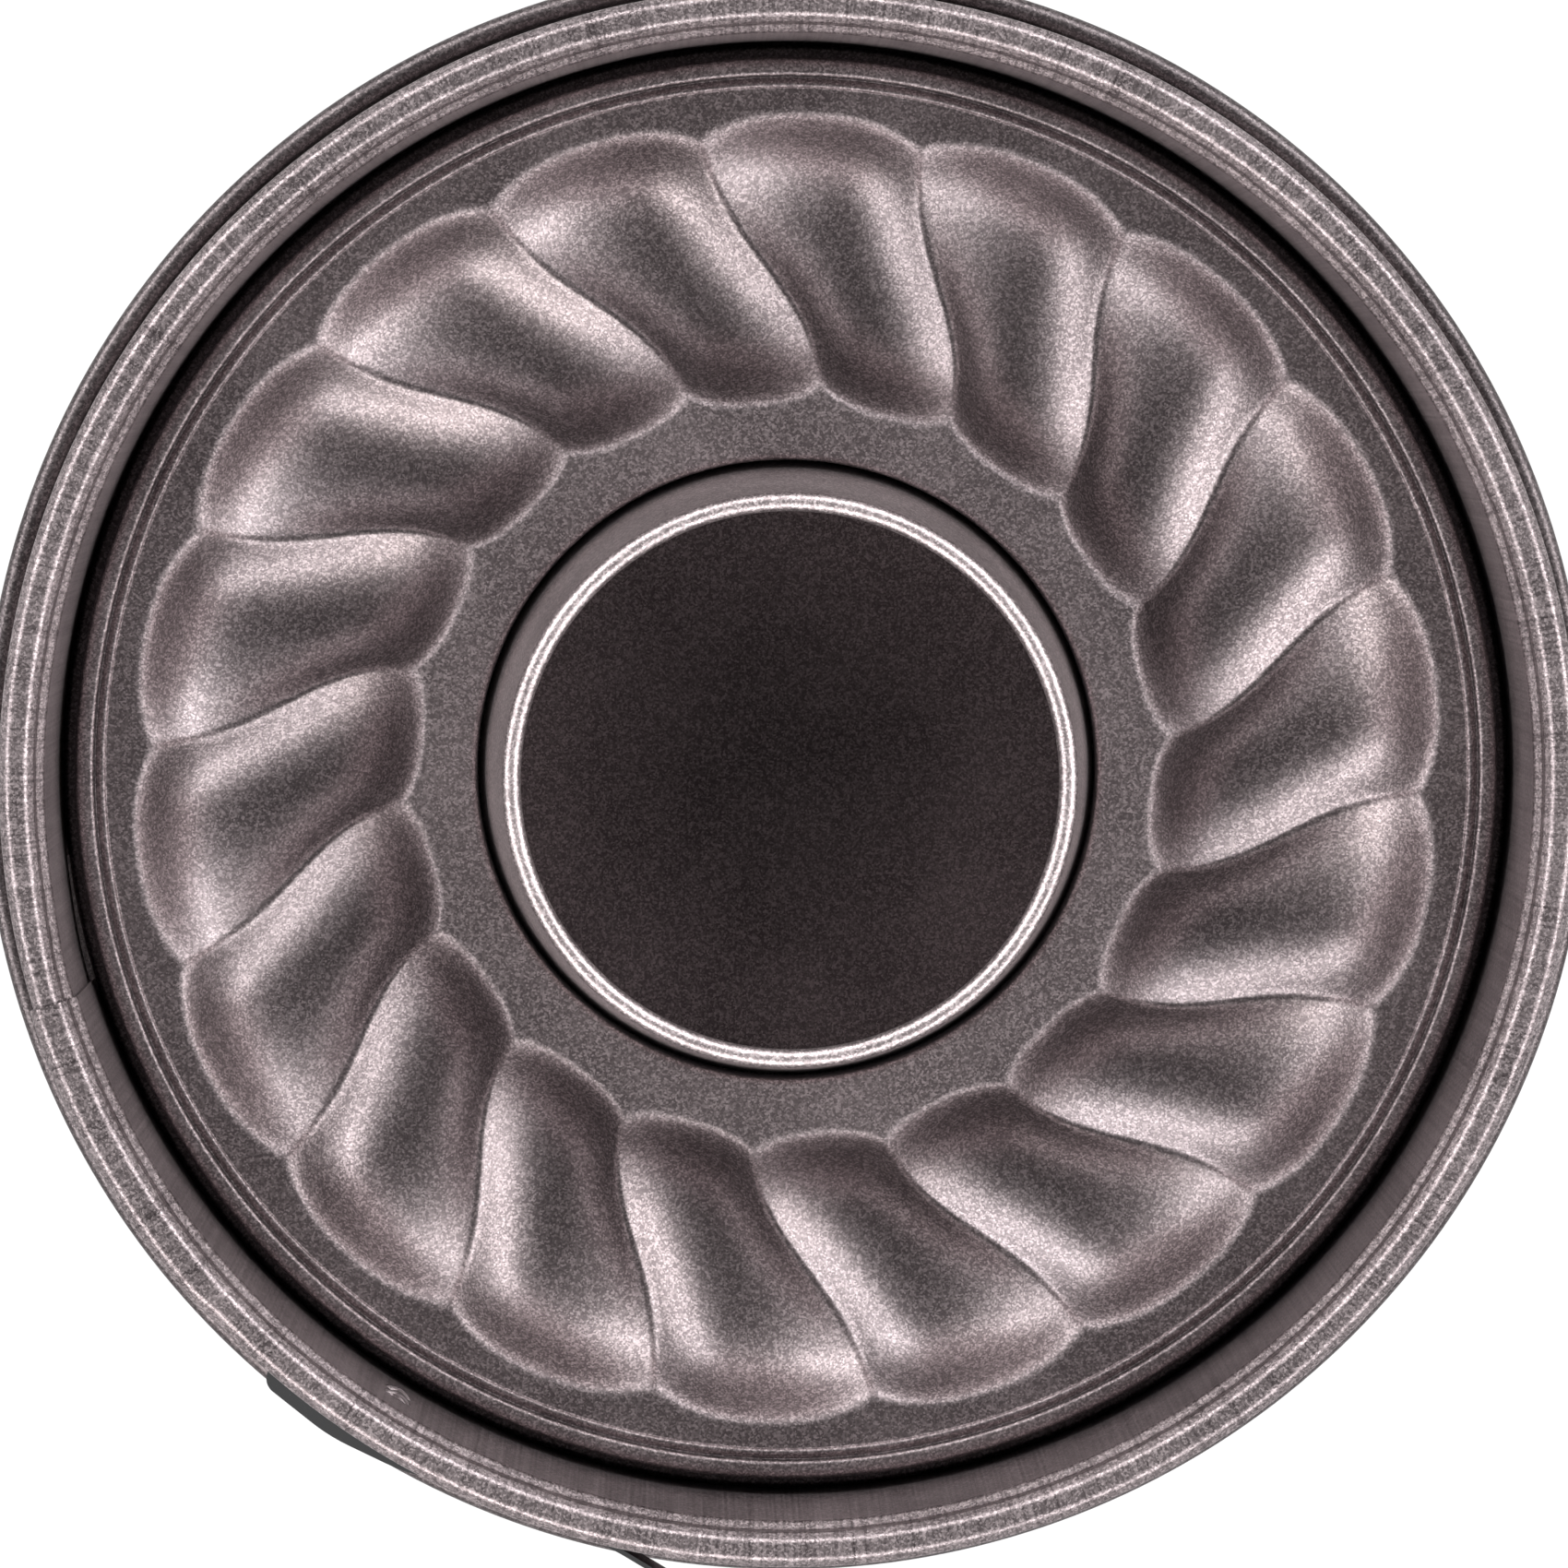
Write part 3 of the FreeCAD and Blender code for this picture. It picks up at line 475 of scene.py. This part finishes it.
@dataclass
class RingBand:
    """Strip bent round the pan, overlapping itself: covering start, plain round, joggle and tail."""

    top: float = 68.0
    hem_height: float = 1.5
    hem_reach: float = 1.6
    step: float = 1.6
    step_drop: float = 6.6
    rim_width: float = 6.2
    rim_side: float = 5.4
    rim_crown: float = 1.5
    rim_corner: float = 1.4
    seam: float = 197.0
    tail: float = 23.0
    joggle: float = 10.0
    blend: float = 3.5
    tail_bottom: float = 4.6
    hem_bend: float = 0.5
    step_bend: float = 1.1
    rim_end_bend: float = 0.8
    fine_turn: float = 0.5
    coarse_turn: float = 1.25
    tail_turns: int = 45
    tail_overlap: float = 0.02

    def line(self, shift: float, grow: float, hem: bool) -> np.ndarray:
        """Middle line of the band's section.

        Args:
            shift: How far the layer lies outside the first one.
            grow: How far its rim covers another rim.
            hem: Whether the bottom has its inward hem.

        Returns:
            Points (radius, height).
        """
        half = SHEETS.band / 2
        wall = SHEETS.ring_radius + half + shift
        rim_inner = wall + self.step
        rim_outer = SHEETS.ring_radius + self.step + self.rim_width - half + grow
        top = self.top - half - SHEETS.lap + grow
        low = top - self.rim_side - 2 * grow
        step = self.top - self.step_drop
        bottom = SHEETS.plate + SHEETS.seat_gap + half
        start: list[Corner] = [(wall, self.tail_bottom, 0.0)]
        if hem:
            start = [
                (wall - self.hem_reach, bottom + self.hem_height - SHEETS.band, 0.0),
                (wall - self.hem_reach, bottom, self.hem_bend),
                (wall, bottom, self.hem_bend),
            ]
        rim: list[Corner] = [
            (wall, step, self.step_bend),
            (rim_inner, step + self.step, self.step_bend),
            (rim_inner, top - self.rim_crown, self.rim_corner / 2),
            (rim_inner + self.rim_corner, top, self.rim_corner),
            (rim_outer - self.rim_corner, top, self.rim_corner),
            (rim_outer, top - self.rim_crown, self.rim_corner / 2),
            (rim_outer, low, self.rim_end_bend),
            (rim_outer - self.rim_corner, low, 0.0),
        ]
        return rounded_line(start + rim)

    def strip(self, angles: np.ndarray, hem: bool) -> np.ndarray:
        """Grid of the strip over the angles, in degrees: the plain section moves outwards and its rim grows.

        Formula: plain + shift share × (shifted - plain) + grow share × (grown - plain).

        Args:
            angles: Places round the pan.
            hem: Whether the bottom has its inward hem.

        Returns:
            Array of angles by outline points by 3.
        """
        plain, shifted, grown = (
            sheet_outline(self.line(shift, grow, hem), SHEETS.band)
            for shift, grow in ((0.0, 0.0), (SHEETS.lap, 0.0), (0.0, SHEETS.lap))
        )
        joggle_start = self.seam + 360.0 - self.joggle
        shift = smooth_step((angles - joggle_start) / self.joggle)[:, None, None]
        grow = 1 - smooth_step((angles - self.seam - self.tail - self.fine_turn) / self.blend)[:, None, None]
        section = plain + shift * (shifted - plain) + grow * (grown - plain)
        turn = np.radians(angles)[:, None]
        radius, height = section[..., 0], section[..., 1]
        return np.stack([radius * np.cos(turn), radius * np.sin(turn), height], -1)

    def build(self, material: bpy.types.Material) -> bpy.types.Object:
        """The band's piece: the hemmed round and the tail without a hem."""
        joggle_start = self.seam + 360.0 - self.joggle
        cover_end = self.seam + self.tail + self.blend + 2 * self.fine_turn
        cover = np.arange(self.seam, cover_end, self.fine_turn)
        turn = self.coarse_turn
        round_way = np.arange(cover[-1] + turn, joggle_start - turn / 2, turn)
        hemmed = self.strip(np.concatenate([cover, round_way, [joggle_start]]), True)
        tail_end = self.seam + 360.0 + self.tail
        plain_tail = self.strip(np.linspace(joggle_start - self.tail_overlap, tail_end, self.tail_turns), False)
        piece = make_piece("coated_ring_band", [(hemmed, Shell.STRIP), (plain_tail, Shell.STRIP)])
        return dress(piece, material, "ring_band")


@dataclass
class FlutedInsert:
    """Pressed wreath ring: collar, inner flat, twisted lobes, outer flat, ridge, groove and edge bead."""

    lobes: int = 18
    depth: float = 12.5
    ridge_share: float = 0.46
    inner_valley: float = 0.70
    outer_valley: float = 0.32
    scallop_ease: float = 5.0
    lobe_outer: float = 117.8
    cusp_outer: float = 114.4
    lobe_inner: float = 64.2
    cusp_inner: float = 67.2
    outer_run: float = 4.8
    inner_run: float = 5.5
    twist: float = 13.4
    twist_delay: float = 1.2
    first_cusp: float = 18.0
    outer_flat: float = 121.2
    ridge_radius: float = 122.2
    ridge_height: float = 0.7
    groove_radius: float = 123.5
    groove_drop: float = 0.7
    bead_outer: float = 127.0
    bead_radius: float = 1.75
    hole_radius: float = 55.3
    hole_corner: float = 1.2
    collar_room: float = 0.4
    crest_width: float = 0.045
    scallop_power: float = 2.6
    twist_swing: float = 0.25
    press_bend: float = 0.45
    press_run: float = 0.4
    bead_bend: float = 0.6
    bead_setback: float = 0.3
    row_bunching: float = 0.45
    per_lobe: int = 20
    lobe_rows: int = 64
    flat_rows: int = 5

    @property
    def top(self) -> float:
        """Height of the flats' upper face."""
        return SHEETS.floor_top + SHEETS.seat_gap + SHEETS.insert + self.depth

    def crease_turn(self, radius: np.ndarray) -> np.ndarray:
        """Degrees that a crease lies behind its outer end: an S, steepest past the middle."""
        share = (self.cusp_outer - radius) / (self.cusp_outer - self.cusp_inner)
        late = np.clip(share, 0.0, 1.0) ** self.twist_delay
        return -self.twist * (late - self.twist_swing * np.sin(2 * math.pi * late) / math.pi)

    def edge(self, across: np.ndarray, lobe: float, cusp: float) -> np.ndarray:
        """Radius of a scalloped edge: an arch between two cusps."""
        return cusp + (lobe - cusp) * (1 - np.abs(2 * across - 1) ** self.scallop_power)

    def sunk(self, radius: np.ndarray, inner: np.ndarray, outer: np.ndarray, across: np.ndarray) -> np.ndarray:
        """Depth below the flats: both end walls fall from the scallops, and the creases stand up as ridges."""
        walls = self.end_wall(outer - radius, self.outer_run) * self.end_wall(radius - inner, self.inner_run)
        along = smooth_step((radius - inner) / (outer - inner))
        valley = self.inner_valley + (self.outer_valley - self.inner_valley) * along
        side = np.abs(across - valley) / np.where(across < valley, valley, 1 - valley)
        crest = side**2 - 2 * self.crest_width * np.exp(-(1 - side) / self.crest_width)
        return self.depth * walls * (1 - self.ridge_share * crest)

    def end_wall(self, distance: np.ndarray, run: float) -> np.ndarray:
        """Share of the full depth at a distance from the scallop: a rounded shoulder, then a falling slope."""
        return 1 - np.exp(-(np.hypot(distance, self.scallop_ease) - self.scallop_ease) / run)

    def side_line(self, corners: Sequence[Corner]) -> np.ndarray:
        """Upper face of a turned part of the sheet: its middle line moved half a sheet to the left."""
        line = rounded_line(corners)
        return line + line_normals(line) * SHEETS.insert / 2

    def build(self, material: bpy.types.Material) -> bpy.types.Object:
        """The insert's piece, one closed grid: upper face outwards, then underside back inwards."""
        half = SHEETS.insert / 2
        middle = self.top - half
        collar = self.hole_radius + half
        collar_end = SHEETS.floor_top + SHEETS.seat_gap + SHEETS.tube + self.collar_room
        inner_line = self.side_line([
            (collar, collar_end, 0.0),
            (collar, middle, self.hole_corner - half),
            (self.hole_radius + 3 * self.hole_corner, middle, 0.0),
        ])
        bead = self.bead_radius - half
        bead_outer = self.bead_outer - half
        ridge_top = middle + self.ridge_height
        outer_line = self.side_line([
            (self.outer_flat - self.press_run, middle, 0.0),
            (self.outer_flat + self.press_run, middle, self.press_bend),
            (self.ridge_radius, ridge_top, self.press_bend),
            (self.groove_radius, middle - self.groove_drop, self.press_bend),
            (bead_outer - 2 * bead + self.bead_setback, ridge_top, self.bead_bend),
            (bead_outer, ridge_top, bead),
            (bead_outer, ridge_top - 2 * bead, bead),
            (bead_outer - bead, ridge_top - 2 * bead, 0.0),
        ])
        steps = np.arange(self.lobes * self.per_lobe) / self.per_lobe
        whole, part = np.floor(steps), steps - np.floor(steps)
        across = 0.5 * part + 0.25 * (1 - np.cos(math.pi * part))
        inner = self.edge(across, self.lobe_inner, self.cusp_inner)
        outer = self.edge(across, self.lobe_outer, self.cusp_outer)
        share = np.linspace(0.0, 1.0, self.lobe_rows)[:, None]
        along = (1 - self.row_bunching) * share + self.row_bunching / 2 * (1 - np.cos(math.pi * share))
        lobe_radius = inner + (outer - inner) * along
        lobe_height = self.top - self.sunk(lobe_radius, inner, outer, across[None])
        flat = np.linspace(0.0, 1.0, self.flat_rows)[1:-1, None]
        first, last = inner_line[-1, 0], outer_line[0, 0]
        ones = np.ones((1, len(steps)))
        radius = np.concatenate([
            inner_line[:, :1] * ones, first + (inner - first) * flat, lobe_radius,
            outer + (last - outer) * flat, outer_line[:, :1] * ones,
        ])
        level = self.top * np.ones((len(flat), 1)) * ones
        height = np.concatenate([inner_line[:, 1:] * ones, level, lobe_height, level, outer_line[:, 1:] * ones])
        turn = np.radians(self.first_cusp + 360.0 / self.lobes * (whole + across) + self.crease_turn(radius))
        upper = np.stack([radius * np.cos(turn), radius * np.sin(turn), height], -1)
        lower = upper - self.normals(upper) * SHEETS.insert
        grid = np.concatenate([upper, lower[::-1]])
        piece = make_piece("coated_fluted_insert", [(grid, Shell.ROUND)], sharp=70.0)
        return dress(piece, material, "fluted_insert")

    @staticmethod
    def normals(grid: np.ndarray) -> np.ndarray:
        """Unit normals of a grid that closes on itself along its columns: cross product of both differences."""
        round_way = np.roll(grid, -1, axis=1) - np.roll(grid, 1, axis=1)
        out_way = np.gradient(grid, axis=0)
        normal = np.cross(out_way, round_way)
        return normal / np.linalg.norm(normal, axis=-1, keepdims=True)


@dataclass
class Tube:
    """Tapered tube with an outward curl on top and a foot that hems round the insert's collar."""

    top: float = 74.0
    opening: float = 46.6
    curl_radius: float = 1.75
    slot: float = 0.25
    foot_bend: float = 0.9
    hem_bend: float = 0.5
    hem_height: float = 2.0
    hole_radius: float = 55.3
    count: int = 256

    def build(self, material: bpy.types.Material) -> bpy.types.Object:
        """The tube's piece, turned about the axis."""
        half = SHEETS.tube / 2
        foot = SHEETS.floor_top + SHEETS.seat_gap + half
        hem = self.hole_radius + SHEETS.insert + SHEETS.seat_gap + half
        curl = self.curl_radius - half
        top = self.top - half
        wall = self.opening + half
        line = rounded_line([
            (hem, foot + self.hem_height, 0.0),
            (hem, foot, self.hem_bend),
            (self.hole_radius - self.slot - half, foot, self.foot_bend),
            (wall, top, curl),
            (wall + 2 * curl, top, curl),
            (wall + 2 * curl, top - 2 * curl, curl),
            (wall + curl, top - 2 * curl, 0.0),
        ])
        piece = make_piece("coated_tube", [(lathe(sheet_outline(line, SHEETS.tube), self.count), Shell.ROUND)])
        return dress(piece, material, "tube")


def dress(piece: bpy.types.Object, material: bpy.types.Material, node: str) -> bpy.types.Object:
    """Puts a material on a piece that stands for a node of the pan's body.

    Args:
        piece: The new piece.
        material: Its finish.
        node: The node that it replaces.

    Returns:
        The same piece.
    """
    piece.data.materials.append(material)
    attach(piece, "pan")
    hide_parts(node)
    LOG.info("%s: %d faces", piece.name, len(piece.data.polygons))
    return piece


@dataclass
class Buckle:
    """The chromed nodes, which keep their shapes."""

    nodes: tuple[str, ...] = (
        "lever_bracket", "bracket_rivets", "catch_hook", "hook_rivets", "fulcrum_pin", "latch_lever",
        "link_bail",
    )

    def build(self, material: bpy.types.Material) -> None:
        """Gives each node the chrome finish."""
        for name in self.nodes:
            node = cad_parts[name]
            node.data.materials.clear()
            node.data.materials.append(material)
            LOG.info("%s: chrome", name)


@dataclass
class Softbox:
    """One rectangular studio lamp, aimed at the pan: angles in degrees, lengths in metres, power in watts."""

    azimuth: float
    elevation: float
    distance: float
    width: float
    height: float
    power: float
    colour: Colour

    def build(self, index: int) -> None:
        """Makes the lamp."""
        lamp = bpy.data.lights.new(f"softbox_{index}", "AREA")
        lamp.color = self.colour
        lamp.shape = "RECTANGLE"
        lamp.size, lamp.size_y = self.width, self.height
        lamp.energy = self.power
        holder = bpy.data.objects.new(lamp.name, lamp)
        turn, rise = math.radians(self.azimuth), math.radians(self.elevation)
        way = Vector((math.cos(turn) * math.cos(rise), math.sin(turn) * math.cos(rise), math.sin(rise)))
        holder.location = way * self.distance
        holder.rotation_mode = "QUATERNION"
        holder.rotation_quaternion = way.to_track_quat("Z", "Y")
        bpy.context.scene.collection.objects.link(holder)


@dataclass
class Studio:
    """Pale floor, plain surroundings, four softboxes, and the camera overhead. Lengths are metres."""

    lamps: list[Softbox] = field(default_factory=lambda: [
        Softbox(50.0, 34.0, 1.6, 0.9, 0.4, 5.0, (0.93, 0.97, 1.0)),
        Softbox(240.0, 34.0, 1.6, 0.9, 0.4, 5.0, (1.0, 0.93, 0.86)),
        Softbox(0.0, 34.0, 1.6, 0.7, 0.35, 5.0, (1.0, 0.98, 0.97)),
        Softbox(140.0, 34.0, 1.6, 0.7, 0.35, 6.0, (1.0, 0.98, 0.97)),
    ])
    world_bands: tuple[tuple[float, float], ...] = (
        (0.0, 0.0), (0.36, 0.0), (0.42, 1.0), (0.62, 1.0), (0.72, 0.02), (1.0, 0.01),
    )
    world_strength: float = 9.0
    floor_size: float = 8.0
    floor_grey: float = 0.8
    floor_shown: float = 0.9
    camera_place: tuple[float, float, float] = (-0.021, 0.070, 2.1)
    focal_pixels: float = 12664.0
    base_pixel: tuple[float, float] = (852.0, 831.0)

    def build_floor(self) -> None:
        """Pale floor that camera and mirror rays see as white, with the pan's soft shadow kept on it."""
        half = self.floor_size / 2
        corners = [(-half, -half, 0), (half, -half, 0), (half, half, 0), (-half, half, 0)]
        mesh = bpy.data.meshes.new("studio_floor")
        mesh.from_pydata(corners, [], [(0, 1, 2, 3)])
        floor = bpy.data.objects.new("studio_floor", mesh)
        bpy.context.scene.collection.objects.link(floor)
        material = bpy.data.materials.new("studio_floor")
        material.use_nodes = True
        tree = material.node_tree
        nodes, links = tree.nodes, tree.links
        nodes.remove(nodes["Principled BSDF"])
        matt = nodes.new("ShaderNodeBsdfDiffuse")
        matt.inputs["Color"].default_value = (self.floor_grey, self.floor_grey, self.floor_grey, 1.0)
        glow = nodes.new("ShaderNodeEmission")
        glow.inputs["Strength"].default_value = 1.0
        mix = nodes.new("ShaderNodeMixShader")
        rays = nodes.new("ShaderNodeLightPath")
        seen = math_node(tree, "MAXIMUM", rays.outputs["Is Camera Ray"], rays.outputs["Is Glossy Ray"])
        seen = math_node(tree, "MAXIMUM", seen, rays.outputs["Is Transmission Ray"])
        links.new(math_node(tree, "MULTIPLY", seen, self.floor_shown), mix.inputs[0])
        links.new(matt.outputs[0], mix.inputs[1])
        links.new(glow.outputs[0], mix.inputs[2])
        links.new(mix.outputs[0], nodes["Material Output"].inputs["Surface"])
        mesh.materials.append(material)

    def build_world(self) -> None:
        """Surroundings that are dark overhead, with a bright band below, and white to the camera."""
        world = bpy.data.worlds.new("studio_world")
        world.use_nodes = True
        tree = world.node_tree
        back = tree.nodes["Background"]
        back.inputs["Color"].default_value = (1.0, 1.0, 1.0, 1.0)
        split = tree.nodes.new("ShaderNodeSeparateXYZ")
        tree.links.new(tree.nodes.new("ShaderNodeTexCoord").outputs["Generated"], split.inputs[0])
        ramp = tree.nodes.new("ShaderNodeValToRGB")
        for _ in self.world_bands[2:]:
            ramp.color_ramp.elements.new(0.5)
        for element, (height, level) in zip(ramp.color_ramp.elements, self.world_bands):
            element.position = height
            element.color = (level, level, level, 1.0)
        tree.links.new(split.outputs["Z"], ramp.inputs[0])
        rays = tree.nodes.new("ShaderNodeLightPath")
        level = math_node(tree, "MULTIPLY", ramp.outputs[0], self.world_strength)
        missing = math_node(tree, "SUBTRACT", 1.0, level)
        shown = math_node(tree, "MULTIPLY", missing, rays.outputs["Is Camera Ray"])
        tree.links.new(math_node(tree, "ADD", level, shown), back.inputs["Strength"])
        bpy.context.scene.world = world

    def build_camera(self) -> None:
        """Camera high above the pan, up +Y, aimed so that the base's middle lands on its pixel."""
        data = bpy.data.cameras.new("overhead")
        data.sensor_width = 36.0
        data.lens = self.focal_pixels / IMAGE_WIDTH * data.sensor_width
        data.clip_start, data.clip_end = 0.1, 20.0
        camera = bpy.data.objects.new("overhead", data)
        place = Vector(self.camera_place)
        scale = place.z / self.focal_pixels
        centre = IMAGE_WIDTH / 2
        aim = Vector(((centre - self.base_pixel[0]) * scale, (self.base_pixel[1] - centre) * scale, 0.0))
        camera.location = place
        camera.rotation_mode = "QUATERNION"
        back = (place - aim).normalized()
        right = Vector((0.0, 1.0, 0.0)).cross(back).normalized()
        camera.rotation_quaternion = Matrix((right, back.cross(right), back)).transposed().to_quaternion()
        bpy.context.scene.collection.objects.link(camera)
        bpy.context.scene.camera = camera

    def build(self) -> None:
        """Floor, world, lamps and camera."""
        self.build_floor()
        self.build_world()
        for index, lamp in enumerate(self.lamps):
            lamp.build(index)
        self.build_camera()
        bpy.context.scene.view_settings.view_transform = "Standard"
        LOG.info("studio: %d softboxes", len(self.lamps))


def main() -> None:
    """Builds and dresses every piece, then the studio."""
    logging.basicConfig(level=logging.INFO, format="%(name)s %(message)s")
    bpy.context.view_layer.update()
    speckle, streak = speckle_group(), streak_group()
    plain, wall, tube_painted_light, base = (
        finish.build(speckle, streak)
        for finish in (
            CoatFinish("coat_plain"),
            CoatFinish("coat_wall", streaks=0.9),
            # Painted light: the whole tube gets a lighter coat colour, standing for the light that its tapered
            # wall and top curl catch.
            CoatFinish("coat_tube_painted_light", dark=(0.130, 0.107, 0.110), light=(0.620, 0.545, 0.550)),
            # Painted shade: the base plate gets a darker coat colour, standing for the deep shade on its floor
            # inside the tube; the lip outside the ring is darkened with it.
            CoatFinish("coat_base_painted_shade", dark=(0.024, 0.020, 0.021), light=(0.170, 0.146, 0.149)),
        )
    )
    chrome = ChromeFinish().build(speckle)
    BasePlate().build(base)
    RingBand().build(wall)
    FlutedInsert().build(plain)
    Tube().build(tube_painted_light)
    Buckle().build(chrome)
    Studio().build()
    bpy.context.view_layer.update()


if __name__ == "__main__":
    main()
